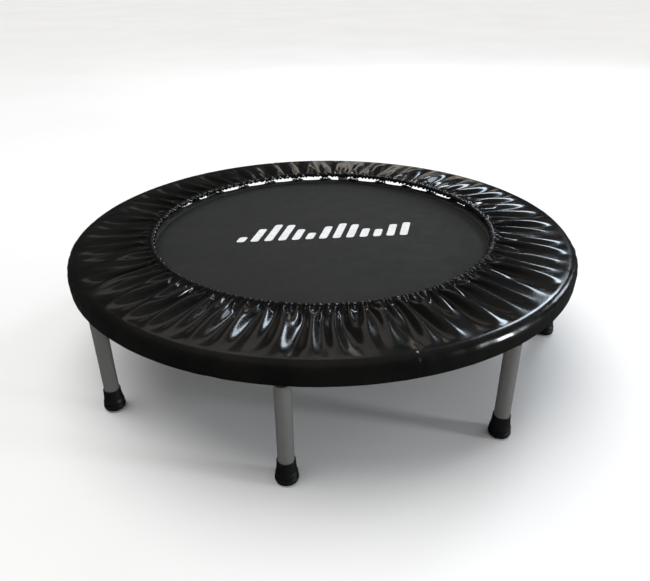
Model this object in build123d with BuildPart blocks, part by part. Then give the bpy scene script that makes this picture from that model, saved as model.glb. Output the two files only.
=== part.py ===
from build123d import *
from math import degrees
import os

# Mini trampoline: a welded steel ring on eight screw-on legs, a woven mat hung in the ring
# on extension springs, and a gathered cover over the springs and the ring.
# Millimetres. The origin is on the floor at the centre, +Z is up.

os.makedirs("parts", exist_ok=True)

# ---- driving dimensions -------------------------------------------------------------
overall_radius = 480.0      # outside of the cover
overall_height = 227.0      # floor to the top of the gathered hem round the opening
rim_height = 220.0          # floor to the top of the cover over the ring
leg_count = 8
spring_count = 32

# frame tube and ring
tube_radius = 12.5
tube_wall = 1.2
ring_radius = 463.0         # centre line of the ring tube
ring_height = 202.5         # centre line above the floor; the mat lies at this height too
spring_hole_radius = 3.0
weld_width = 3.0
weld_proud = 0.4            # outside the tube and inside it

# threaded boss in the underside of the ring, and the bolt that screws into it
boss_radius = 7.0
boss_height = 16.0
bolt_radius = 4.0
thread_clearance = 0.05     # radial, bolt in boss
bolt_head_flats = 13.0
bolt_head_height = 5.5
bolt_top = 204.0

# legs
joint_gap = 0.5             # saddle to ring tube
collar_bottom = 178.0       # seam between the plug's collar and the leg tube
collar_top = 195.0          # tips of the saddle, either side of the ring tube
spigot_length = 28.0
spigot_clearance = 0.1
leg_tube_bottom = 8.0

# rubber foot
foot_height = 40.0
foot_collar_radius = 15.0
foot_bulb_radius = 18.3
foot_base_radius = 15.5
foot_groove_height = 18.0

# cover
cover_thickness = 1.2
cover_edge_radius = 15.0    # roll of the cover over the outside of the ring
cover_inner_radius = 326.0  # edge of the opening
cover_bottom = 184.0
inner_hem_radius = 4.5
outer_hem_radius = 2.0
inner_elastic_radius = 2.2
outer_elastic_radius = 1.1
elastic_clearance = 0.2

# mat
mat_radius = 350.0
mat_thickness = 1.2
binding_width = 22.0
strap_thickness = 1.2
layer_gap = 0.1
tab_width = 17.0
tab_inner_radius = 336.0
wire_radius = 1.5           # V-ring wire
v_ring_bar_radius = 355.0   # distance of the V-ring's bar from the centre
v_ring_apex_radius = 380.0
v_ring_half_width = 16.0
v_ring_bend = 4.0

# springs
spring_wire_radius = 1.2
coil_radius = 6.5           # outside of the coil
coil_start = 389.0          # distance of the coil's two ends from the centre
coil_end = 438.0
hook_radius = 4.0           # centre line of the hook
hook_centre = 377.5
hook_tail = 2.5

spring_pitch = 360.0 / spring_count
leg_pitch = 360.0 / leg_count


# ---- ring ---------------------------------------------------------------------------
def spring_places(radius):
    """Spring positions round the ring: none stands over a leg."""
    return PolarLocations(radius, spring_count, start_angle=spring_pitch / 2)


def upright_plane(angle):
    """The plane through the upright axis at an angle, in degrees from +X."""
    return Plane(
        origin=(0, 0, 0),
        x_dir=Vector(1, 0, 0).rotate(Axis.Z, angle),
        z_dir=Vector(0, -1, 0).rotate(Axis.Z, angle),
    )


ring_plane = Plane.XY.offset(ring_height)
weld_angle = leg_pitch / 2      # halfway between two legs, and between two spring holes
weld_arc = degrees(weld_width / ring_radius)

# one tube bent round until its ends nearly meet, drilled, then closed by a butt weld
with BuildPart() as frame_ring:
    with BuildSketch(upright_plane(weld_angle + weld_arc / 2)):
        with Locations((ring_radius, ring_height)):
            Circle(tube_radius)
            Circle(tube_radius - tube_wall, mode=Mode.SUBTRACT)
    revolve(axis=Axis.Z, revolution_arc=360 - weld_arc)
    with Locations(ring_plane.offset(-tube_radius)):
        with PolarLocations(ring_radius, leg_count):
            Cylinder(boss_radius + thread_clearance, tube_radius, mode=Mode.SUBTRACT)
    with Locations(ring_plane):
        with spring_places(ring_radius - tube_radius):
            Cylinder(spring_hole_radius, 4 * tube_wall, rotation=(0, 90, 0), mode=Mode.SUBTRACT)
    with BuildSketch(upright_plane(weld_angle - weld_arc / 2)):
        with Locations((ring_radius, ring_height)):
            Circle(tube_radius + weld_proud)
            Circle(tube_radius - tube_wall - weld_proud, mode=Mode.SUBTRACT)
    revolve(axis=Axis.Z, revolution_arc=weld_arc)

boss_bottom = ring_height - tube_radius + 0.2
with BuildPart() as leg_bosses:
    with BuildSketch(Plane.XY.offset(boss_bottom)):
        with PolarLocations(ring_radius, leg_count):
            Circle(boss_radius)
            Circle(bolt_radius + thread_clearance, mode=Mode.SUBTRACT)
    extrude(amount=boss_height)


# ---- cover and its two elastics -----------------------------------------------------
inner_hem = (cover_inner_radius + inner_hem_radius, overall_height - inner_hem_radius)
outer_hem = (overall_radius - outer_hem_radius, cover_bottom + outer_hem_radius)
skin_outside = overall_radius - cover_thickness / 2
skin_top = rim_height - cover_thickness / 2

with BuildPart() as skirt_cover:
    with BuildSketch(Plane.XZ) as cover_section:
        with BuildLine():
            top_run = Line(
                (inner_hem[0], inner_hem[1] + inner_hem_radius - cover_thickness / 2),
                (skin_outside - cover_edge_radius, skin_top),
            )
            roll = RadiusArc(
                top_run @ 1, (skin_outside, skin_top - cover_edge_radius), cover_edge_radius
            )
            drop = Line(roll @ 1, (skin_outside, outer_hem[1]))
        trace(line_width=cover_thickness)
        with Locations(inner_hem):
            Circle(inner_hem_radius)
        with Locations(outer_hem):
            Circle(outer_hem_radius)
        with Locations(inner_hem):
            Circle(inner_elastic_radius + elastic_clearance, mode=Mode.SUBTRACT)
        with Locations(outer_hem):
            Circle(outer_elastic_radius + elastic_clearance, mode=Mode.SUBTRACT)
    revolve(axis=Axis.Z)

with BuildPart() as inner_elastic:
    with BuildSketch(Plane.XZ):
        with Locations(inner_hem):
            Circle(inner_elastic_radius)
    revolve(axis=Axis.Z)

with BuildPart() as outer_elastic:
    with BuildSketch(Plane.XZ):
        with Locations(outer_hem):
            Circle(outer_elastic_radius)
    revolve(axis=Axis.Z)


# ---- mat ----------------------------------------------------------------------------
with BuildPart() as mat_fabric:
    with BuildSketch(ring_plane.offset(-mat_thickness / 2)):
        Circle(mat_radius)
    extrude(amount=mat_thickness)

# a tape folded over the edge of the mat, sewn through
fold_half = mat_thickness / 2 + layer_gap
with BuildPart() as mat_binding:
    with BuildSketch(Plane.XZ):
        with Locations((mat_radius - binding_width, ring_height)):
            Rectangle(
                binding_width + layer_gap + strap_thickness,
                2 * (fold_half + strap_thickness),
                align=(Align.MIN, Align.CENTER),
            )
            Rectangle(
                binding_width + layer_gap,
                2 * fold_half,
                align=(Align.MIN, Align.CENTER),
                mode=Mode.SUBTRACT,
            )
    revolve(axis=Axis.Z)

# webbing loops that hold the V-rings: over the binding, round the bar and back
loop_radius = fold_half + strap_thickness + layer_gap + strap_thickness / 2
with BuildPart() as one_tab:
    with BuildSketch(Plane.XZ):
        with BuildLine():
            upper = Line(
                (tab_inner_radius, ring_height + loop_radius),
                (v_ring_bar_radius, ring_height + loop_radius),
            )
            turn = ThreePointArc(
                upper @ 1,
                (v_ring_bar_radius + loop_radius, ring_height),
                (v_ring_bar_radius, ring_height - loop_radius),
            )
            Line(turn @ 1, (tab_inner_radius, ring_height - loop_radius))
        trace(line_width=strap_thickness)
    extrude(amount=tab_width / 2, both=True)

with BuildPart() as mat_tabs:
    with spring_places(0):
        add(one_tab.part)

with BuildPart() as one_v_ring:
    with BuildLine(ring_plane) as v_path:
        FilletPolyline(
            (v_ring_bar_radius, -v_ring_half_width),
            (v_ring_apex_radius, 0),
            (v_ring_bar_radius, v_ring_half_width),
            radius=v_ring_bend,
            close=True,
        )
    with BuildSketch(Plane(origin=v_path.wires()[0] @ 0, z_dir=v_path.wires()[0] % 0)):
        Circle(wire_radius)
    sweep(path=v_path.wires()[0])

with BuildPart() as v_rings:
    with spring_places(0):
        add(one_v_ring.part)


# ---- springs ------------------------------------------------------------------------
# The close-wound coil is a plain tube; a bar across each end carries the hook.
inner_hook_top = ring_height + hook_radius
ring_hook_reach = ring_radius - tube_radius + 4.5
with BuildPart() as one_spring:
    with BuildSketch(Plane.YZ.offset(coil_start)):
        with Locations((0, ring_height)):
            Circle(coil_radius)
            Circle(coil_radius - 2 * spring_wire_radius, mode=Mode.SUBTRACT)
    extrude(amount=coil_end - coil_start)
    with Locations(
        (coil_start + spring_wire_radius, 0, ring_height),
        (coil_end - spring_wire_radius, 0, ring_height),
    ):
        Box(2 * spring_wire_radius, 2 * coil_radius - spring_wire_radius, 2 * spring_wire_radius)
    with BuildLine(Plane.XZ) as mat_hook:
        neck = Line(
            (coil_start + spring_wire_radius, ring_height),
            (hook_centre + hook_radius, inner_hook_top),
        )
        rise = Line(neck @ 1, (hook_centre, inner_hook_top))
        bend = ThreePointArc(
            rise @ 1,
            (hook_centre - hook_radius, ring_height),
            (hook_centre, ring_height - hook_radius),
        )
        Line(bend @ 1, (hook_centre + hook_tail, ring_height - hook_radius))
    with BuildSketch(Plane(origin=neck @ 0, z_dir=neck % 0)):
        Circle(spring_wire_radius)
    sweep(path=mat_hook.wires()[0], transition=Transition.ROUND)
    with BuildLine(Plane.XZ) as ring_hook:
        shank = Line(
            (coil_end - spring_wire_radius, ring_height), (ring_hook_reach, ring_height)
        )
        dip = RadiusArc(
            shank @ 1,
            (ring_hook_reach + hook_radius, ring_height - hook_radius),
            hook_radius,
        )
        Line(dip @ 1, (dip @ 1) - (0, 0, hook_tail))
    with BuildSketch(Plane(origin=shank @ 0, z_dir=shank % 0)):
        Circle(spring_wire_radius)
    sweep(path=ring_hook.wires()[0])

with BuildPart() as springs:
    with spring_places(0):
        add(one_spring.part)


# ---- one leg, at angle 0 ------------------------------------------------------------
leg_axis = Plane.XY.move(Location((ring_radius, 0, 0)))
collar_radius = tube_radius

with BuildPart() as one_leg_tube:
    with BuildSketch(leg_axis.offset(leg_tube_bottom)):
        Circle(tube_radius)
        Circle(tube_radius - tube_wall, mode=Mode.SUBTRACT)
    extrude(amount=collar_bottom - leg_tube_bottom)

# plastic plug: a spigot in the tube, a collar, and a saddle that seats under the ring
plug_bottom = collar_bottom - spigot_length
with BuildPart() as one_leg_plug:
    with BuildSketch(leg_axis.offset(plug_bottom)):
        Circle(tube_radius - tube_wall - spigot_clearance)
    extrude(amount=spigot_length)
    with BuildSketch(leg_axis.offset(collar_bottom)):
        Circle(collar_radius)
    extrude(amount=collar_top - collar_bottom)
    with Locations((ring_radius, 0, ring_height)):
        Cylinder(
            tube_radius + joint_gap, 3 * collar_radius, rotation=(90, 0, 0), mode=Mode.SUBTRACT
        )
    with BuildSketch(leg_axis.offset(boss_bottom - joint_gap)):
        Circle(boss_radius + joint_gap)
    extrude(amount=boss_height, mode=Mode.SUBTRACT)
    with BuildSketch(leg_axis.offset(plug_bottom)):
        Circle(bolt_radius + thread_clearance)
    extrude(amount=collar_top - plug_bottom, mode=Mode.SUBTRACT)

with BuildPart() as one_leg_bolt:
    with BuildSketch(leg_axis.offset(plug_bottom - bolt_head_height)):
        RegularPolygon(bolt_head_flats / 2, 6, major_radius=False)
    extrude(amount=bolt_head_height)
    with BuildSketch(leg_axis.offset(plug_bottom)):
        Circle(bolt_radius)
    extrude(amount=bolt_top - plug_bottom)
    chamfer(one_leg_bolt.edges().group_by(Axis.Z)[-1], 1.0)

with BuildPart() as one_foot:
    with BuildSketch(Plane.XZ.move(Location((ring_radius, 0, 0)))) as foot_section:
        with BuildLine():
            Polyline(
                (0, 0),
                (foot_base_radius, 0),
                (foot_bulb_radius, 4),
                (foot_bulb_radius, foot_groove_height - 3),
                (foot_bulb_radius - 1.2, foot_groove_height - 2),
                (foot_bulb_radius - 1.2, foot_groove_height),
                (foot_collar_radius + 0.8, foot_groove_height + 3),
                (foot_collar_radius, foot_height),
                (0, foot_height),
                close=True,
            )
        make_face()
        fillet(foot_section.vertices().group_by(Axis.X)[-1], 2.5)
        with Locations((0, leg_tube_bottom)):
            Rectangle(
                tube_radius + thread_clearance,
                foot_height,
                align=(Align.MIN, Align.MIN),
                mode=Mode.SUBTRACT,
            )
    revolve(axis=Axis((ring_radius, 0, 0), (0, 0, 1)))


# ---- labels and files ---------------------------------------------------------------
frame_ring.part.label = "frame_ring"
leg_bosses.part.label = "leg_bosses"
skirt_cover.part.label = "skirt_cover"
inner_elastic.part.label = "inner_elastic"
outer_elastic.part.label = "outer_elastic"
mat_fabric.part.label = "mat_fabric"
mat_binding.part.label = "mat_binding"
mat_tabs.part.label = "mat_tabs"
v_rings.part.label = "v_rings"
springs.part.label = "springs"

export_step(frame_ring.part, "parts/frame_ring.step")
export_step(leg_bosses.part, "parts/leg_bosses.step")
export_step(skirt_cover.part, "parts/skirt_cover.step")
export_step(inner_elastic.part, "parts/inner_elastic.step")
export_step(outer_elastic.part, "parts/outer_elastic.step")
export_step(mat_fabric.part, "parts/mat_fabric.step")
export_step(mat_binding.part, "parts/mat_binding.step")
export_step(mat_tabs.part, "parts/mat_tabs.step")
export_step(v_rings.part, "parts/v_rings.step")
export_step(springs.part, "parts/springs.step")

leg_pieces = {
    "leg_tube": one_leg_tube.part,
    "leg_plug": one_leg_plug.part,
    "leg_bolt": one_leg_bolt.part,
    "foot": one_foot.part,
}
for number in range(leg_count):
    for kind, piece in leg_pieces.items():
        with BuildPart() as placed:
            with PolarLocations(0, 1, start_angle=number * leg_pitch):
                add(piece)
        placed.part.label = f"{kind}_{number + 1}"
        export_step(placed.part, f"parts/{placed.part.label}.step")
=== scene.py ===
"""Looks of the mini trampoline: gathered cover, woven mat, springs, legs and feet."""

from math import cos, hypot, pi, radians, sin

import bpy
import numpy as np
from mathutils import Matrix, Vector


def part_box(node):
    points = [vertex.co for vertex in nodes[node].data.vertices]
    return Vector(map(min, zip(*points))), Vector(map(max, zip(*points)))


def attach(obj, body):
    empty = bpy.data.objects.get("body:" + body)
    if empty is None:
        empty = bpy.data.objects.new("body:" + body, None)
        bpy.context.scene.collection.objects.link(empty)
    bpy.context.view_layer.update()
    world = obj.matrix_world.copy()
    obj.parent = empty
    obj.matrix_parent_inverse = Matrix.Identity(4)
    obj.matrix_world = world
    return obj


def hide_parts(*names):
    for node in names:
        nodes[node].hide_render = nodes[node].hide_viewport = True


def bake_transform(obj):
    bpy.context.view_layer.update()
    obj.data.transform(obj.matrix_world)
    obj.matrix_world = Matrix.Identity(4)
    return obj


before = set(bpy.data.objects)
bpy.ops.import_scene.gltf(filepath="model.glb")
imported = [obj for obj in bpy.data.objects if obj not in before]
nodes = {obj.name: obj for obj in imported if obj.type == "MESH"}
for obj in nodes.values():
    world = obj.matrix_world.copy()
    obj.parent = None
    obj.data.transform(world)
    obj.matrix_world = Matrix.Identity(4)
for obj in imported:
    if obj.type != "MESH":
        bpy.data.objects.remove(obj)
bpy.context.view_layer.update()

MM = 0.001


# ---- sizes read from the frame --------------------------------------------------------
def reach(name):
    """Smallest and largest distance of a node from the upright axis."""
    distance = [hypot(v.co.x, v.co.y) for v in nodes[name].data.vertices]
    return min(distance), max(distance)


def ring_section(name):
    """Centre-line radius, height and section radius of a ring-shaped node."""
    low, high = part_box(name)
    section = (high.z - low.z) / 2
    return reach(name)[1] - section, (high.z + low.z) / 2, section


ring_radius, ring_height, tube_radius = ring_section("frame_ring")
inner_cord_radius, inner_cord_height, inner_cord_section = ring_section("inner_elastic")
outer_cord_radius, outer_cord_height, outer_cord_section = ring_section("outer_elastic")
cover_radius = reach("skirt_cover")[1]
rim_top = ring_height + 17.5 * MM
mat_radius = reach("mat_fabric")[1]
mat_low, mat_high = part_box("mat_fabric")
tape_inner, tape_outer = reach("mat_binding")
tape_low, tape_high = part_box("mat_binding")
loop_inner = reach("mat_tabs")[0]
loop_low, loop_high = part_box("mat_tabs")
v_ring_bar = reach("v_rings")[0]
spring_inner, spring_outer = reach("springs")
leg_count = sum(name.startswith("leg_tube_") for name in nodes)
spring_count = 32
spring_pitch = 2 * pi / spring_count


# ---- mesh helpers ---------------------------------------------------------------------
def make_mesh(name, points, faces, smooth=True):
    mesh = bpy.data.meshes.new(name)
    mesh.from_pydata(np.asarray(points, float).reshape(-1, 3).tolist(), [], faces)
    if smooth:
        mesh.polygons.foreach_set("use_smooth", [True] * len(mesh.polygons))
    mesh.update()
    piece = bpy.data.objects.new(name, mesh)
    bpy.context.scene.collection.objects.link(piece)
    return piece


def net_faces(rows, columns, closed_down=False, start=0):
    """Quads of a net that closes on itself across, and down too if asked."""
    index = start + np.arange(rows * columns).reshape(rows, columns)
    if closed_down:
        index = np.vstack([index, index[:1]])
    across = np.roll(index, -1, axis=1)
    return np.stack([index[:-1], across[:-1], across[1:], index[1:]], -1).reshape(-1, 4)


def turned(points, angle):
    """Points turned about the upright axis."""
    points = np.asarray(points, float)
    x, y = points[..., 0], points[..., 1]
    return np.stack(
        [x * cos(angle) - y * sin(angle), x * sin(angle) + y * cos(angle), points[..., 2]], -1
    )


def lathe(name, profile, segments, centre=(0, 0)):
    """A turned piece: profile is (radius, height) from the axis round to the axis again."""
    profile = np.asarray(profile, float)
    angle = np.arange(segments) * 2 * pi / segments
    rings = np.stack(
        [
            centre[0] + profile[:, :1] * np.cos(angle),
            centre[1] + profile[:, :1] * np.sin(angle),
            profile[:, 1:] + 0 * angle,
        ],
        -1,
    )
    faces = net_faces(len(profile), segments).tolist()
    faces.append(list(range(segments))[::-1])
    faces.append([(len(profile) - 1) * segments + k for k in range(segments)])
    return make_mesh(name, rings, faces)


def rounded(points, radius, steps=4):
    """An open outline with its corners rounded by arcs of a quadratic curve."""
    points = [np.array(p, float) for p in points]
    out = [points[0]]
    for before, corner, after in zip(points, points[1:], points[2:]):
        back, ahead = before - corner, after - corner
        cut = min(radius, np.linalg.norm(back) / 2, np.linalg.norm(ahead) / 2)
        a = corner + back / np.linalg.norm(back) * cut
        b = corner + ahead / np.linalg.norm(ahead) * cut
        for t in np.linspace(0, 1, steps):
            out.append((1 - t) ** 2 * a + 2 * t * (1 - t) * corner + t * t * b)
    out.append(points[-1])
    return np.array(out)


def wire(path, radius, sides):
    """Points and faces of a round wire along a path, with closed ends."""
    path = np.asarray(path, float)
    along = np.gradient(path, axis=0)
    along /= np.linalg.norm(along, axis=1, keepdims=True)
    any_other_way = (0.3, 0.9, 0.2)
    side = np.cross(along[0], any_other_way)
    rings = []
    around = np.arange(sides) * 2 * pi / sides
    for point, direction in zip(path, along):
        side = side - direction * (side @ direction)
        side /= np.linalg.norm(side)
        other = np.cross(direction, side)
        circle = np.outer(np.cos(around), side) + np.outer(np.sin(around), other)
        rings.append(point + radius * circle)
    faces = net_faces(len(path), sides).tolist()
    faces.append(list(range(sides))[::-1])
    faces.append([(len(path) - 1) * sides + k for k in range(sides)])
    return np.array(rings).reshape(-1, 3), faces


def joined(parts):
    """One point list and one face list from several."""
    points, faces, count = [], [], 0
    for p, f in parts:
        points.append(np.asarray(p, float).reshape(-1, 3))
        faces += [[k + count for k in face] for face in f]
        count += len(points[-1])
    return np.vstack(points), faces


# ---- shader helpers -------------------------------------------------------------------
def link(tree, output, socket):
    tree.links.new(output, socket)


def add_node(tree, kind, **settings):
    node = tree.nodes.new(kind)
    for name, value in settings.items():
        setattr(node, name, value)
    return node


def maths(tree, operation, first, second=None, third=None):
    """A Math node on sockets or plain numbers; gives its output."""
    node = add_node(tree, "ShaderNodeMath", operation=operation)
    for socket, value in zip(node.inputs, (first, second, third)):
        if value is None:
            continue
        if isinstance(value, (int, float)):
            socket.default_value = value
        else:
            link(tree, value, socket)
    return node.outputs[0]


def new_group(name, inputs, outputs):
    """An empty node group. inputs and outputs are (name, kind, default) and (name, kind)."""
    tree = bpy.data.node_groups.new(name, "ShaderNodeTree")
    for label, kind, value in inputs:
        socket = tree.interface.new_socket(label, in_out="INPUT", socket_type="NodeSocket" + kind)
        if value is not None:
            socket.default_value = value
    for label, kind in outputs:
        tree.interface.new_socket(label, in_out="OUTPUT", socket_type="NodeSocket" + kind)
    return tree, tree.nodes.new("NodeGroupInput").outputs, tree.nodes.new("NodeGroupOutput").inputs


def noise(tree, vector, scale, detail=3.0, roughness=0.5):
    """A noise texture; scale is a number or a socket."""
    node = add_node(tree, "ShaderNodeTexNoise")
    link(tree, vector, node.inputs["Vector"])
    if isinstance(scale, (int, float)):
        node.inputs["Scale"].default_value = scale
    else:
        link(tree, scale, node.inputs["Scale"])
    node.inputs["Detail"].default_value = detail
    node.inputs["Roughness"].default_value = roughness
    return node.outputs["Fac"]


def spread_value(tree, value, low_in, high_in, low_out, high_out):
    """Map Range; the limits are numbers or sockets."""
    node = add_node(tree, "ShaderNodeMapRange")
    for socket, v in zip(node.inputs, (value, low_in, high_in, low_out, high_out)):
        if isinstance(v, (int, float)):
            socket.default_value = v
        else:
            link(tree, v, socket)
    return node.outputs["Result"]


def mix_colour(tree, factor, first, second):
    node = add_node(tree, "ShaderNodeMix", data_type="RGBA")
    for socket, value in ((node.inputs[0], factor), (node.inputs[6], first), (node.inputs[7], second)):
        if isinstance(value, (int, float)):
            socket.default_value = value
        elif isinstance(value, tuple):
            socket.default_value = value
        else:
            link(tree, value, socket)
    return node.outputs[2]


# ---- shared effects -------------------------------------------------------------------
def make_mottle():
    """Slow colour and roughness drift, as any made surface has."""
    tree, given, out = new_group(
        "surface drift",
        [("Dark", "Color", (0, 0, 0, 1)), ("Light", "Color", (1, 1, 1, 1)), ("Scale", "Float", 8.0),
         ("Smoothest", "Float", 0.3), ("Roughest", "Float", 0.5)],
        [("Color", "Color"), ("Roughness", "Float")],
    )
    place = add_node(tree, "ShaderNodeTexCoord").outputs["Object"]
    slow = noise(tree, place, given["Scale"], 4.0, 0.6)
    swing = spread_value(tree, slow, 0.35, 0.65, 0.0, 1.0)
    link(tree, mix_colour(tree, swing, given["Dark"], given["Light"]), out["Color"])
    other = noise(tree, place, maths(tree, "MULTIPLY", given["Scale"], 2.7), 3.0, 0.6)
    link(
        tree,
        spread_value(tree, other, 0.35, 0.65, given["Smoothest"], given["Roughest"]),
        out["Roughness"],
    )
    return tree


def make_grain():
    """Fine all-over grain as a height: moulded plastic, powder coat, cloth backing."""
    tree, given, out = new_group(
        "fine grain",
        [("Scale", "Float", 400.0), ("Depth", "Float", 1.0)],
        [("Height", "Float")],
    )
    place = add_node(tree, "ShaderNodeTexCoord").outputs["Object"]
    fine = noise(tree, place, given["Scale"], 2.0, 0.6)
    link(tree, maths(tree, "MULTIPLY", fine, given["Depth"]), out["Height"])
    return tree


def make_edge_wear():
    """Mask of rubbed edges, broken up by noise."""
    tree, given, out = new_group(
        "edge wear",
        [("Reach", "Float", 0.5), ("Breakup", "Float", 60.0)],
        [("Mask", "Float")],
    )
    place = add_node(tree, "ShaderNodeTexCoord").outputs["Object"]
    point = add_node(tree, "ShaderNodeNewGeometry").outputs["Pointiness"]
    edge = spread_value(tree, point, 0.52, 0.60, 0.0, 1.0)
    patch = spread_value(tree, noise(tree, place, given["Breakup"], 4.0, 0.7), 0.4, 0.6, 0.0, 1.0)
    link(tree, maths(tree, "MULTIPLY", maths(tree, "MULTIPLY", edge, patch), given["Reach"]), out["Mask"])
    return tree


def make_weave():
    """Plain weave in the flat: two crossing thread families, by thread pitch in metres."""
    tree, given, out = new_group(
        "plain weave",
        [("Pitch", "Float", 0.0016)],
        [("Height", "Float"), ("Thread", "Float")],
    )
    place = add_node(tree, "ShaderNodeTexCoord").outputs["Object"]
    axis = add_node(tree, "ShaderNodeSeparateXYZ")
    link(tree, place, axis.inputs[0])
    turn = maths(tree, "DIVIDE", pi, given["Pitch"])
    warp = maths(tree, "SINE", maths(tree, "MULTIPLY", axis.outputs["X"], turn))
    weft = maths(tree, "SINE", maths(tree, "MULTIPLY", axis.outputs["Y"], turn))
    crossing = maths(tree, "MULTIPLY", warp, weft)
    ridge = maths(tree, "ADD", maths(tree, "ABSOLUTE", warp), maths(tree, "ABSOLUTE", weft))
    link(tree, maths(tree, "ADD", maths(tree, "MULTIPLY", crossing, 0.5), ridge), out["Height"])
    link(tree, spread_value(tree, crossing, -1.0, 1.0, 0.0, 1.0), out["Thread"])
    return tree


drift = make_mottle()
grain = make_grain()
edge_wear = make_edge_wear()
weave = make_weave()


def place_group(tree, group, **values):
    node = add_node(tree, "ShaderNodeGroup", node_tree=group)
    for name, value in values.items():
        node.inputs[name].default_value = value
    return node.outputs


def new_finish(name, metallic=0.0, **fixed):
    """A material with a bare Principled shader; fixed holds its constant sockets."""
    material = bpy.data.materials.new(name)
    material.use_nodes = True
    tree = material.node_tree
    shader = tree.nodes["Principled BSDF"]
    shader.inputs["Metallic"].default_value = metallic
    for socket, value in fixed.items():
        shader.inputs[socket.replace("_", " ")].default_value = value
    return material, tree, shader


def bump(tree, shader, height, strength, distance):
    node = add_node(tree, "ShaderNodeBump")
    node.inputs["Strength"].default_value = strength
    node.inputs["Distance"].default_value = distance
    link(tree, height, node.inputs["Height"])
    link(tree, node.outputs["Normal"], shader.inputs["Normal"])


def colour(r, g, b):
    return (r, g, b, 1.0)


# ---- finishes -------------------------------------------------------------------------
def coated_cover_fabric():
    """Gloss black coated fabric; its back is a dull knitted cloth."""
    material, tree, shader = new_finish("gloss coated fabric", Coat_Weight=0.35, Coat_Roughness=0.06)
    shader.inputs["Coat IOR"].default_value = 1.5
    tone = place_group(
        tree, drift, Dark=colour(0.0030, 0.0029, 0.0026), Light=colour(0.0062, 0.0057, 0.0048),
        Scale=14.0, Smoothest=0.17, Roughest=0.27,
    )
    back = add_node(tree, "ShaderNodeNewGeometry").outputs["Backfacing"]
    shade = mix_colour(tree, back, tone["Color"], colour(0.028, 0.028, 0.029))
    link(tree, shade, shader.inputs["Base Color"])
    dull_back = maths(tree, "MULTIPLY", back, 0.85)
    link(tree, maths(tree, "MAXIMUM", tone["Roughness"], dull_back), shader.inputs["Roughness"])
    front = maths(tree, "SUBTRACT", 1.0, back)
    link(tree, maths(tree, "MULTIPLY", front, 0.35), shader.inputs["Coat Weight"])
    creases = place_group(tree, grain, Scale=130.0, Depth=1.0)["Height"]
    pores = place_group(tree, grain, Scale=900.0, Depth=0.25)["Height"]
    bump(tree, shader, maths(tree, "ADD", creases, pores), 0.14, 0.0010)
    return material


def mat_cloth():
    """Tight black polypropylene weave with a dry sheen."""
    material, tree, shader = new_finish("woven mat cloth", Sheen_Weight=0.08, Sheen_Roughness=0.4)
    shader.inputs["Specular IOR Level"].default_value = 0.22
    tone = place_group(
        tree, drift, Dark=colour(0.0135, 0.0138, 0.0134), Light=colour(0.0165, 0.0168, 0.0162),
        Scale=9.0, Smoothest=0.55, Roughest=0.72,
    )
    threads = place_group(tree, weave, Pitch=0.0016)
    share = maths(tree, "MULTIPLY", threads["Thread"], 0.35)
    shade = mix_colour(tree, share, tone["Color"], colour(0.032, 0.033, 0.032))
    link(tree, shade, shader.inputs["Base Color"])
    link(tree, tone["Roughness"], shader.inputs["Roughness"])
    bump(tree, shader, threads["Height"], 0.5, 0.0004)
    return material


def print_ink():
    """White screen print on the weave, with the threads showing through."""
    material, tree, shader = new_finish("white print")
    tone = place_group(
        tree, drift, Dark=colour(0.72, 0.73, 0.74), Light=colour(0.86, 0.87, 0.88),
        Scale=60.0, Smoothest=0.55, Roughest=0.7,
    )
    threads = place_group(tree, weave, Pitch=0.0016)
    share = maths(tree, "MULTIPLY", threads["Thread"], 0.18)
    shade = mix_colour(tree, share, tone["Color"], colour(0.45, 0.46, 0.47))
    link(tree, shade, shader.inputs["Base Color"])
    link(tree, tone["Roughness"], shader.inputs["Roughness"])
    bump(tree, shader, threads["Height"], 0.4, 0.0003)
    return material


def webbing_cloth():
    """Ribbed black webbing and tape."""
    material, tree, shader = new_finish("ribbed webbing", Sheen_Weight=0.2)
    tone = place_group(
        tree, drift, Dark=colour(0.012, 0.012, 0.013), Light=colour(0.022, 0.022, 0.024),
        Scale=40.0, Smoothest=0.6, Roughest=0.8,
    )
    threads = place_group(tree, weave, Pitch=0.0011)
    share = maths(tree, "MULTIPLY", threads["Thread"], 0.4)
    shade = mix_colour(tree, share, tone["Color"], colour(0.05, 0.05, 0.052))
    link(tree, shade, shader.inputs["Base Color"])
    link(tree, tone["Roughness"], shader.inputs["Roughness"])
    bump(tree, shader, threads["Height"], 0.6, 0.0004)
    return material


def metal_finish(name, dark, light, metallic, smooth, rough, grain_scale, grain_strength=0.12):
    """Painted or plated metal with a fine skin."""
    material, tree, shader = new_finish(name, metallic=metallic)
    tone = place_group(tree, drift, Dark=dark, Light=light, Scale=22.0, Smoothest=smooth, Roughest=rough)
    link(tree, tone["Color"], shader.inputs["Base Color"])
    link(tree, tone["Roughness"], shader.inputs["Roughness"])
    skin = place_group(tree, grain, Scale=grain_scale, Depth=1.0)["Height"]
    bump(tree, shader, skin, grain_strength, 0.0004)
    return material


def dull_black(name, dark, light, smooth, rough, grain_scale, dust_colour):
    """Moulded plastic or rubber with dust rubbed into its edges."""
    material, tree, shader = new_finish(name)
    shader.inputs["Specular IOR Level"].default_value = 0.4
    tone = place_group(tree, drift, Dark=dark, Light=light, Scale=45.0, Smoothest=smooth, Roughest=rough)
    worn = place_group(tree, edge_wear, Reach=0.35, Breakup=120.0)["Mask"]
    link(tree, mix_colour(tree, worn, tone["Color"], dust_colour), shader.inputs["Base Color"])
    link(tree, tone["Roughness"], shader.inputs["Roughness"])
    bump(tree, shader, place_group(tree, grain, Scale=grain_scale, Depth=1.0)["Height"], 0.3, 0.0005)
    return material


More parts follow.
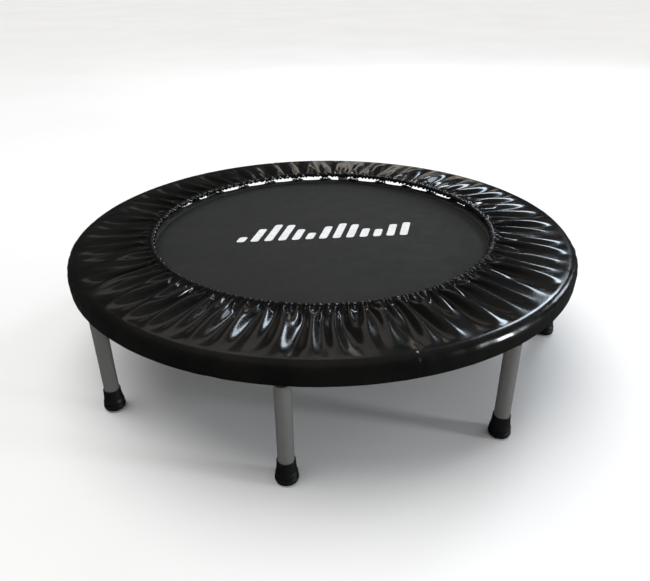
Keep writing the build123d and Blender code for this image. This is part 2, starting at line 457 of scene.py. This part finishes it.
cover_finish = coated_cover_fabric()
mat_finish = mat_cloth()
ink_finish = print_ink()
webbing_finish = webbing_cloth()
silver_paint = metal_finish(
    "silver powder coat", colour(0.300, 0.296, 0.286), colour(0.308, 0.304, 0.294), 0.55, 0.32, 0.35,
    900.0, grain_strength=0.02,
)
zinc_wire = metal_finish(
    "zinc plated wire", colour(0.52, 0.53, 0.55), colour(0.66, 0.67, 0.68), 1.0, 0.22, 0.38, 500.0
)
turned_steel = metal_finish(
    "turned steel", colour(0.40, 0.40, 0.41), colour(0.52, 0.52, 0.52), 1.0, 0.28, 0.42, 400.0
)
plug_plastic = dull_black(
    "moulded black plastic", colour(0.010, 0.010, 0.011), colour(0.017, 0.017, 0.018), 0.38, 0.50, 500.0,
    colour(0.06, 0.06, 0.06),
)
foot_rubber = dull_black(
    "black rubber", colour(0.006, 0.006, 0.006), colour(0.010, 0.010, 0.010), 0.34, 0.46, 650.0,
    colour(0.075, 0.072, 0.068),
)
elastic_finish = dull_black(
    "braided elastic", colour(0.015, 0.015, 0.015), colour(0.03, 0.03, 0.03), 0.6, 0.8, 900.0,
    colour(0.05, 0.05, 0.05),
)
thread_finish = dull_black(
    "sewing thread", colour(0.030, 0.030, 0.031), colour(0.055, 0.055, 0.056), 0.5, 0.7, 1200.0,
    colour(0.08, 0.08, 0.08),
)


def dress(piece, material, body):
    """Gives a new piece its finish and its body."""
    piece.data.materials.clear()
    piece.data.materials.append(material)
    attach(piece, body)
    return piece


# ---- cover ----------------------------------------------------------------------------
across_count = 1440          # points round the cover
panel_rows = 46
stitch_radius = inner_cord_radius + 6.5 * MM
roll_radius = 15 * MM
panel_outer = cover_radius - roll_radius
panel_inner_height = inner_cord_height + 0.5 * MM
panel_outer_height = rim_top - 0.6 * MM
crest_at_hem = inner_cord_height + 9 * MM
crest_at_rim = rim_top + 6 * MM
under_springs = ring_height + 7.6 * MM
over_ring = ring_height + tube_radius + 0.6 * MM
seam_angles = (radians(-67), radians(113))
cover_angle = np.arange(across_count) * 2 * pi / across_count


def wave_sum(random, lowest, highest):
    """A wavy line round the cover, of several wave counts, with a spread of one."""
    count = np.arange(lowest, highest)[:, None]
    size = random.normal(size=count.shape)
    shift = random.uniform(0, 2 * pi, count.shape)
    line = (size * np.cos(count * cover_angle + shift)).sum(0)
    return line / line.std()


def pull(first, second, free_first, free_second, length, stiffness):
    """Moves two sets of points towards their cut distance apart."""
    gap = second - first
    distance = np.sqrt((gap * gap).sum(0)) + 1e-12
    share = stiffness * (distance - length) / distance / (free_first + free_second + 1e-9)
    first += gap * (share * free_first)
    second -= gap * (share * free_second)


def settle_panel(steps):
    """A straight strip as long as the rim, drawn in at the elastic and let settle."""
    random = np.random.default_rng(7)
    down = np.linspace(0, 1, panel_rows)[:, None]
    radius = stitch_radius + (panel_outer - stitch_radius) * down + 0 * cover_angle
    height = panel_inner_height + (panel_outer_height - panel_inner_height) * down + 0 * cover_angle
    loose = (1 - down) * np.clip(down * 6, 0, 1)
    wide, middling, narrow = (wave_sum(random, *counts) for counts in ((16, 34), (34, 70), (70, 120)))
    height = height + loose * MM * (2.8 * wide + 2.0 * middling + 0.8 * narrow)
    angle = cover_angle + loose * 0.010 * wave_sum(random, 12, 30)
    ruffle_phase = 215 * cover_angle + 1.5 * wave_sum(random, 20, 90)
    height[0] += 2.8 * MM * np.sin(ruffle_phase) + 1.2 * MM * wave_sum(random, 60, 140)
    radius[0] += 1.6 * MM * np.sin(ruffle_phase / 2 + 1)
    net = np.stack([radius * np.cos(angle), radius * np.sin(angle), height]).astype(np.float32)
    held = net.copy()
    free = np.ones((panel_rows, 1), np.float32)
    free[0] = 0
    free[-2:] = 0
    across = 2 * pi * panel_outer / across_count
    along = (panel_outer - stitch_radius) / (panel_rows - 1) * 1.03
    slant = hypot(across, along)
    speed = np.zeros_like(net)
    kept_speed, sag, bow_share, hold, slant_hold = 0.97, 2e-6, 0.22, 0.9, 0.25
    fastest = 0.6 * MM
    wave_count = np.arange(across_count // 2 + 1)
    stiff_below = (4.2 + 7.0 * down) * MM
    bending = 1 / (1 + (wave_count * stiff_below / (2 * pi * radius[:, :1])) ** 4)
    for _ in range(steps):
        speed *= kept_speed
        speed[2] -= sag
        net += speed * free
        before = net.copy()
        waves = np.fft.rfft(net, axis=2) * bending
        net = np.fft.irfft(waves, across_count, axis=2).astype(np.float32)
        net = np.where(free[None] > 0, net, held)
        bow = np.zeros_like(net)
        bow[:, 1:-1] = 0.5 * (net[:, 2:] + net[:, :-2]) - net[:, 1:-1]
        net += bow_share * bow * free
        for _ in range(2):
            pull(net[:, :, 0::2], net[:, :, 1::2], free, free, across, hold)
            net = np.roll(net, -1, 2)
            pull(net[:, :, 0::2], net[:, :, 1::2], free, free, across, hold)
            net = np.roll(net, 1, 2)
            for first in (0, 1):
                pairs = (panel_rows - first) // 2 * 2
                upper = slice(first, first + pairs, 2)
                lower = slice(first + 1, first + pairs, 2)
                pull(net[:, upper], net[:, lower], free[upper], free[lower], along, hold)
                for side in (1, -1):
                    shifted = np.roll(net, side, 2)
                    gap = shifted[:, lower] - net[:, upper]
                    distance = np.sqrt((gap * gap).sum(0)) + 1e-12
                    weight = free[upper] + free[lower] + 1e-9
                    share = slant_hold * (distance - slant) / distance / weight
                    net[:, upper] += gap * (share * free[upper])
                    change = np.zeros_like(net)
                    change[:, lower] = -gap * (share * free[lower])
                    net += np.roll(change, -side, 2)
        distance = np.hypot(net[0], net[1])
        floor_height = np.where(distance < ring_radius - tube_radius, under_springs, over_ring)
        net[2] = np.maximum(net[2], floor_height)
        above = net[2] - (crest_at_hem + (crest_at_rim - crest_at_hem) * down)
        net[2] -= np.where(above > 0, above * 0.5, 0)
        net = np.where(free[None] > 0, net, held)
        speed = np.clip(net - before, -fastest, fastest)
    return np.moveaxis(net, 0, -1).astype(float), ruffle_phase


def hem_rows(phase):
    """The cover rolled and scrunched round the inner elastic, from under the stitches to over."""
    rows = []
    turn = np.radians(np.linspace(-35, -325, 13))
    bead = 0.5 - 0.5 * np.abs(np.sin(phase / 2))
    for k, a in enumerate(turn):
        middle = sin(pi * k / (len(turn) - 1))
        section = inner_cord_section + 2.1 * MM + middle * 2.4 * MM * (0.5 - bead)
        sway = middle * 1.5 * MM * np.sin(phase / 2 + 1)
        radius = inner_cord_radius + section * cos(a) + sway
        height = inner_cord_height + section * sin(a) + 1.3 * MM * np.sin(phase + 1.5 * middle)
        x, y = radius * np.cos(cover_angle), radius * np.sin(cover_angle)
        rows.append(np.stack([x, y, height], -1))
    return rows


def rim_rows(random_low, random_mid):
    """The smooth band over the outside of the ring, down to the outer hem rolled under it."""
    rows = []

    def add_row(radius, height, looseness):
        shift = looseness * (0.8 * MM * random_low + 0.35 * MM * random_mid)
        r = radius + shift
        rows.append(np.stack([r * np.cos(cover_angle), r * np.sin(cover_angle), height + 0 * r], -1))

    for a in np.radians(np.linspace(82, 0, 9)):
        height = panel_outer_height - roll_radius * (1 - sin(a))
        add_row(panel_outer + roll_radius * cos(a), height, cos(a) ** 2)
    drop_top = panel_outer_height - roll_radius
    hem_radius = outer_cord_section + 1.0 * MM
    for t in np.linspace(0.2, 1, 6):
        height = drop_top + (outer_cord_height + hem_radius - drop_top) * t
        inward = outer_cord_radius + hem_radius - cover_radius
        add_row(cover_radius + inward * t ** 2, height, 1 - 0.6 * t)
    for a in np.radians(np.linspace(0, -270, 10)):
        height = outer_cord_height + hem_radius * sin(a)
        add_row(outer_cord_radius + hem_radius * cos(a), height, 0.35)
    return rows


def seam_line(net):
    """Presses the joins of the strip into the cover: a groove with a raised turning beside it."""
    for centre in seam_angles:
        offset = (cover_angle - centre + pi) % (2 * pi) - pi
        groove = np.exp(-((offset * cover_radius) / (3.0 * MM)) ** 2)
        turning = np.exp(-(((offset * cover_radius) + 7 * MM) / (4.5 * MM)) ** 2)
        first, last = panel_rows + 4, net.shape[0] - 10
        for row in range(first, last):
            lift = min(1, (row - first) / 7) * MM * (0.35 * turning - 0.7 * groove)
            centre_line = np.stack(
                [ring_radius * np.cos(cover_angle), ring_radius * np.sin(cover_angle),
                 ring_height + 0 * cover_angle], -1
            )
            outward = net[row] - centre_line
            outward /= np.linalg.norm(outward, axis=1, keepdims=True)
            net[row] += outward * lift[:, None]
    return net


def make_cover():
    random = np.random.default_rng(11)
    panel, phase = settle_panel(420)
    hem = hem_rows(phase)
    rim = rim_rows(wave_sum(random, 3, 14), wave_sum(random, 30, 110))
    net = np.array(hem + list(panel) + rim)
    net = seam_line(net)
    faces = net_faces(net.shape[0], across_count)[:, ::-1].tolist()
    cover = make_mesh("gathered_cover", net, faces)
    dress(cover, cover_finish, "frame")
    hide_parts("skirt_cover")


# ---- mat ------------------------------------------------------------------------------
mat_middle = (mat_low.z + mat_high.z) / 2
mat_half = (mat_high.z - mat_low.z) / 2


def mat_height(x, y):
    """Slight waves in the stretched mat, stronger towards the loops that pull on it."""
    distance, angle = np.hypot(x, y), np.arctan2(y, x)
    edge = np.clip(distance / mat_radius, 0, 1) ** 6
    return edge * 0.35 * MM * np.cos(spring_count * (angle - spring_pitch / 2))


def make_mat():
    columns, rings = 256, 60
    angle = np.arange(columns) * 2 * pi / columns
    radius = np.linspace(0.004, 1.0, rings)[:, None] * mat_radius
    x, y = radius * np.cos(angle), radius * np.sin(angle)
    lift = mat_height(x, y)
    top = np.stack([x, y, mat_middle + mat_half + lift], -1)
    under = np.stack([x, y, mat_middle - mat_half + lift], -1)[::-1]
    net = np.concatenate([top, under])
    faces = net_faces(len(net), columns).tolist()
    faces.append(list(range(columns)))
    faces.append([(len(net) - 1) * columns + k for k in range(columns)][::-1])
    mat = make_mesh("woven_mat", net, [face[::-1] for face in faces])
    dress(mat, mat_finish, "mat")
    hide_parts("mat_fabric")


def make_print():
    """A plain printed row of slanted bars that rise and fall like bounces."""
    count, pitch, width, slope = 13, 27 * MM, 16 * MM, 0.32
    tallest, shortest, corner = 88 * MM, 24 * MM, 5.5 * MM
    turn, centre = radians(12.0), Vector((-0.006, 0.018))
    parts = []
    for k in range(count):
        t = k / (count - 1)
        height = shortest + (tallest - shortest) * abs(sin(2.5 * pi * t)) * (1 - 0.35 * t)
        outline = []
        for cx, cy, start in ((1, 1, 0), (-1, 1, 90), (-1, -1, 180), (1, -1, 270)):
            for a in np.radians(np.linspace(start, start + 90, 6)):
                px = cx * (width / 2 - corner) + corner * cos(a)
                py = cy * (height / 2 - corner) + corner * sin(a) + height / 2
                outline.append((px + slope * py, py))
        outline = np.array(outline) + ((k - (count - 1) / 2) * pitch, -tallest / 2)
        x = centre.x + outline[:, 0] * cos(turn) - outline[:, 1] * sin(turn)
        y = centre.y + outline[:, 0] * sin(turn) + outline[:, 1] * cos(turn)
        z = mat_middle + mat_half + mat_height(x, y)
        upper = np.stack([x, y, z + 0.25 * MM], -1)
        lower = np.stack([x, y, z - 0.1 * MM], -1)
        n = len(outline)
        faces = [list(range(n)), list(range(n, 2 * n))[::-1]]
        faces += [[i, n + i, n + (i + 1) % n, (i + 1) % n] for i in range(n)]
        parts.append((np.concatenate([upper, lower]), faces))
    marks = make_mesh("mat_print", *joined(parts), smooth=False)
    dress(marks, ink_finish, "mat")


def stitches(radius, height, count, length, lean=0.0):
    """A ring of raised lock stitches."""
    parts = []
    for k in range(count):
        angle = 2 * pi * k / count
        along = np.linspace(-length / 2, length / 2, 5)
        rise = 0.35 * MM * np.cos(pi * along / length)
        path = np.stack([radius + lean * along, along, height + rise], -1)
        points, faces = wire(path, 0.28 * MM, 5)
        parts.append((turned(points, angle), faces))
    return parts


def make_edge_tape():
    """Tape folded over the mat's edge and drawn out at each loop, with two rows of stitches."""
    columns = 768
    angle = np.arange(columns) * 2 * pi / columns
    thick = 1.1 * MM
    outer_half = (tape_high.z - tape_low.z) / 2
    draw = np.cos(spring_count * (angle - spring_pitch / 2))
    profile = rounded(
        [(tape_inner, outer_half - thick), (tape_inner, outer_half), (tape_outer, outer_half),
         (tape_outer, -outer_half), (tape_inner, -outer_half), (tape_inner, -outer_half + thick),
         (tape_outer - thick, -outer_half + thick), (tape_outer - thick, outer_half - thick)],
        0.9 * MM, 4,
    )
    rows = []
    for r, h in profile:
        edge = (r - tape_inner) / (tape_outer - tape_inner)
        radius = r - 0.5 * MM * edge * (1 - draw)
        wave = mat_height(radius * np.cos(angle), radius * np.sin(angle))
        x, y = radius * np.cos(angle), radius * np.sin(angle)
        rows.append(np.stack([x, y, mat_middle + h + wave], -1))
    faces = net_faces(len(rows), columns, closed_down=True).tolist()
    tape = make_mesh("mat_edge_tape", np.array(rows), faces)
    dress(tape, webbing_finish, "mat")
    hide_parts("mat_binding")
    parts = []
    for inset in (3.0 * MM, 9.0 * MM):
        radius = tape_inner + inset
        for side in (1, -1):
            parts += stitches(radius, mat_middle + side * outer_half, 420, 3.4 * MM)
    dress(make_mesh("mat_edge_stitching", *joined(parts)), thread_finish, "mat")


def make_loops():
    """Webbing loops sewn over the tape, each holding the bar of a V-ring."""
    thick, width = 1.2 * MM, 17 * MM
    loop_half = (loop_high.z - loop_low.z) / 2 - thick / 2
    bar = loop_outer_bar()
    arc = np.radians(np.linspace(90, -90, 11))
    line = [(loop_inner_flat(), loop_half)]
    line += [(bar + loop_half * cos(a), loop_half * sin(a)) for a in arc]
    line += [(loop_inner_flat(), -loop_half)]
    line = np.array(line)
    along = np.gradient(line, axis=0)
    along /= np.linalg.norm(along, axis=1, keepdims=True)
    outward = np.stack([-along[:, 1], along[:, 0]], -1)
    section = []
    for a in np.radians(np.arange(0, 360, 30)):
        flat_part = np.sign(cos(a)) * (width / 2 - thick / 2)
        section.append((flat_part + thick / 2 * cos(a), thick / 2 * sin(a)))
    rings = []
    for point, out in zip(line, outward):
        rings.append(
            [(point[0] + out[0] * h, t, mat_middle + point[1] + out[1] * h) for t, h in section]
        )
    rings = np.array(rings)
    count = len(section)
    faces = net_faces(len(rings), count).tolist()
    faces.append(list(range(count))[::-1])
    faces.append([(len(rings) - 1) * count + k for k in range(count)])
    cloth, thread = [], []
    first = loop_inner_flat()
    near, far, box_half = first + 2 * MM, first + 11 * MM, 6.5 * MM
    for k in range(spring_count):
        angle = (k + 0.5) * spring_pitch
        cloth.append((turned(rings.reshape(-1, 3), angle), faces))
        for side in (1, -1):
            z = mat_middle + side * (loop_half + thick / 2)
            corners = [(near, -box_half), (far, -box_half), (far, box_half),
                       (near, box_half), (near, -box_half), (far, box_half)]
            path = np.array([(r, t, z + side * 0.15 * MM) for r, t in corners])
            points, wire_faces = wire(path, 0.35 * MM, 5)
            thread.append((turned(points, angle), wire_faces))
    loops = dress(make_mesh("webbing_loops", *joined(cloth)), webbing_finish, "mat")
    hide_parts("mat_tabs")
    dress(make_mesh("loop_box_stitching", *joined(thread)), thread_finish, "mat")


def loop_inner_flat():
    """Distance of a loop's sewn end from the centre, along its own middle line."""
    return loop_inner + 0.1 * MM


def loop_outer_bar():
    """Distance of the V-ring bar from the centre, along the loop's middle line."""
    return v_ring_bar + 1.5 * MM


# ---- springs --------------------------------------------------------------------------
spring_wire = 1.2 * MM
coil_middle = 5.3 * MM
coil_start = spring_inner + 16.7 * MM
coil_end = coil_start + 49 * MM
hook_bend = 4.0 * MM
hook_middle = spring_inner + spring_wire + hook_bend
coil_turns = 20
steps_per_turn = 14


def spring_path():
    """One wire from the mat's hook through the coil to the ring's hook, along +X."""
    path = [(hook_middle + 2.5 * MM, 0, -hook_bend)]
    for a in np.radians(np.linspace(270, 90, 13)):
        path.append((hook_middle + hook_bend * cos(a), 0, hook_bend * sin(a)))
    path.append((hook_middle + 4 * MM, 0, hook_bend))
    steps = steps_per_turn * coil_turns
    for k in range(steps + 1):
        a = pi / 2 + 2 * pi * k / steps_per_turn
        along = coil_start + (coil_end - coil_start) * k / steps
        path.append((along, coil_middle * cos(a), coil_middle * sin(a)))
    path.append((coil_end + 3 * MM, 0, 2.6 * MM))
    path.append((coil_end + 6 * MM, 0, 0.3 * MM))
    dip = spring_outer - spring_wire - hook_bend
    path.append((dip - 3 * MM, 0, 0))
    for a in np.radians(np.linspace(90, 0, 6)):
        path.append((dip + hook_bend * cos(a), 0, -hook_bend + hook_bend * sin(a)))
    path.append((dip + hook_bend, 0, -hook_bend - 2.5 * MM))
    return np.array(path) + (0, 0, ring_height)


def make_springs():
    points, faces = wire(spring_path(), spring_wire, 6)
    for k in range(spring_count):
        angle = (k + 0.5) * spring_pitch
        spring = make_mesh(f"spring_{k + 1:02d}", turned(points, angle), faces)
        spring.data.materials.append(zinc_wire)
        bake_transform(spring)
        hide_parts("springs")


# ---- feet -----------------------------------------------------------------------------
def make_feet():
    """Rubber ferrules: a thin lip, a flared cup and a stepped base ring."""
    for k in range(leg_count):
        name = f"foot_{k + 1}"
        low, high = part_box(name)
        centre = ((low.x + high.x) / 2, (low.y + high.y) / 2)
        widest = (high.x - low.x) / 2
        height = high.z - low.z
        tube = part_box(f"leg_tube_{k + 1}")
        inner = (tube[1].x - tube[0].x) / 2 + 0.05 * MM
        outline = rounded(
            [(0.3 * MM, 0), (widest - 5 * MM, 0), (widest - 1.0 * MM, 3.0 * MM), (widest, 6 * MM),
             (widest - 0.2 * MM, 9.5 * MM), (widest - 2.6 * MM, 10.3 * MM),
             (widest - 2.8 * MM, 12.4 * MM), (widest - 0.9 * MM, 13.4 * MM),
             (widest - 1.0 * MM, 16.5 * MM), (widest - 2.6 * MM, 21.5 * MM),
             (inner + 2.2 * MM, height - 9 * MM), (inner + 1.9 * MM, height - 4 * MM),
             (inner + 1.9 * MM, height), (inner, height),
             (inner, height - 4 * MM), (inner, tube[0].z), (0.3 * MM, tube[0].z)],
            0.7 * MM, 4,
        )
        foot = lathe(f"rubber_foot_{k + 1}", outline, 64, centre)
        dress(foot, foot_rubber, f"leg_{k + 1}")
        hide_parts(name)


# ---- carried-over pieces --------------------------------------------------------------
def refinish(name, material):
    """Puts a procedural finish on a CAD node that is shown as it is."""
    slots = nodes[name].material_slots
    if not len(slots):
        nodes[name].data.materials.append(material)
    for s in slots:
        s.material = material


def refinish_frame():
    refinish("frame_ring", silver_paint)
    refinish("leg_bosses", turned_steel)
    refinish("v_rings", zinc_wire)
    refinish("inner_elastic", elastic_finish)
    refinish("outer_elastic", elastic_finish)
    for k in range(1, leg_count + 1):
        refinish(f"leg_tube_{k}", silver_paint)
        refinish(f"leg_plug_{k}", plug_plastic)
        refinish(f"leg_bolt_{k}", turned_steel)


# ---- room -----------------------------------------------------------------------------
def make_floor():
    half = 30.0
    corners = [(-half, -half, 0), (half, -half, 0), (half, half, 0), (-half, half, 0)]
    floor = make_mesh("floor", corners, [[0, 1, 2, 3]])
    material, tree, shader = new_finish("pale floor")
    tone = place_group(
        tree, drift, Dark=colour(0.86, 0.86, 0.86), Light=colour(0.90, 0.90, 0.90), Scale=0.8,
        Smoothest=0.75, Roughest=0.9,
    )
    # Painted reflection: glossy rays see the floor painted near black (0.015), so the cover, legs and
    # springs reflect a dark floor instead of the pale one.
    mirrored = add_node(tree, "ShaderNodeLightPath").outputs["Is Glossy Ray"]
    shade = mix_colour(tree, mirrored, tone["Color"], colour(0.015, 0.015, 0.015))
    link(tree, shade, shader.inputs["Base Color"])
    link(tree, tone["Roughness"], shader.inputs["Roughness"])
    floor.data.materials.append(material)


def make_world():
    """Soft room light, brighter overhead than at the horizon."""
    bpy.context.scene.view_settings.view_transform = "Standard"
    world = bpy.data.worlds.new("studio")
    bpy.context.scene.world = world
    world.use_nodes = True
    tree = world.node_tree
    background = tree.nodes["Background"]
    place = add_node(tree, "ShaderNodeTexCoord").outputs["Generated"]
    axis = add_node(tree, "ShaderNodeSeparateXYZ")
    link(tree, place, axis.inputs[0])
    up = spread_value(tree, axis.outputs["Z"], 0.55, 0.95, 0.0, 1.0)
    room = mix_colour(tree, up, colour(0.030, 0.030, 0.031), colour(0.12, 0.12, 0.12))
    mirrored = add_node(tree, "ShaderNodeLightPath").outputs["Is Glossy Ray"]
    seen = mix_colour(tree, mirrored, colour(0.42, 0.42, 0.42), room)
    link(tree, seen, background.inputs["Color"])
    background.inputs["Strength"].default_value = 1.0


def add_window(name, place, target, width, height, watts, tint):
    light = bpy.data.lights.new(name, "AREA")
    light.shape = "RECTANGLE"
    light.size, light.size_y, light.energy, light.color = width, height, watts, tint
    lamp = bpy.data.objects.new(name, light)
    lamp.location = place
    lamp.rotation_euler = (Vector(target) - Vector(place)).to_track_quat("-Z", "Y").to_euler()
    bpy.context.scene.collection.objects.link(lamp)


def around(azimuth, elevation, distance):
    """A place seen from the middle of the mat at an azimuth and elevation in degrees."""
    a, e = radians(azimuth), radians(elevation)
    level = distance * cos(e)
    return (level * cos(a), level * sin(a), ring_height + distance * sin(e))


def make_lights():
    centre = (0, 0, ring_height)
    away = 4.0
    cool, warm, neutral, pale = (0.78, 0.89, 1.0), (1.0, 0.90, 0.80), (1.0, 0.94, 0.88), (0.90, 0.95, 1.0)
    add_window("window", around(56, 36, away), centre, 0.8, 1.0, 27, cool)
    add_window("low_window", around(31, 18, away), centre, 0.9, 0.9, 13, cool)
    add_window("warm_wall", around(88, 14, away), centre, 1.5, 1.0, 3.4, warm)
    add_window("dim_ceiling", around(108, 42, away), centre, 2.2, 1.6, 3.6, neutral)
    add_window("leg_light", around(-12, 8, away), centre, 0.5, 1.6, 70, pale)
    sky = bpy.data.lights.new("soft_sky", "SUN")
    sky.energy = 2.1
    sky.angle = radians(60)
    sky.color = (1.0, 0.99, 0.975)
    lamp = bpy.data.objects.new("soft_sky", sky)
    lamp.rotation_euler = Vector((-0.25, 0.2, 1.0)).to_track_quat("Z", "Y").to_euler()
    lamp.visible_glossy = False
    bpy.context.scene.collection.objects.link(lamp)


def make_camera():
    """Stands in front, low, between two legs, and looks down on the mat."""
    rim = cover_radius
    azimuth = radians(7.045)
    distance, height = 2.3332 * rim, rim_top + 0.9402 * rim
    pan, tilt, roll = 0.0037, 0.4904, -0.0092
    data = bpy.data.cameras.new("camera")
    data.sensor_width = 36.0
    data.lens = 33.275077
    camera = bpy.data.objects.new("camera", data)
    bpy.context.scene.collection.objects.link(camera)
    ahead = Vector((sin(pan) * cos(tilt), cos(pan) * cos(tilt), -sin(tilt)))
    right = Vector((cos(pan), -sin(pan), 0))
    up = right.cross(ahead)
    tipped_right = cos(roll) * right + sin(roll) * up
    tipped_up = -sin(roll) * right + cos(roll) * up
    turn = Matrix.Rotation(azimuth, 3, "Z")
    basis = Matrix((turn @ tipped_right, turn @ tipped_up, turn @ -ahead)).transposed()
    place = turn @ Vector((0, -distance, height))
    camera.matrix_world = Matrix.Translation(place) @ basis.to_4x4()
    bpy.context.scene.camera = camera


make_camera()
make_world()
make_lights()
make_floor()
refinish_frame()
make_cover()
make_mat()
make_print()
make_edge_tape()
make_loops()
make_springs()
make_feet()
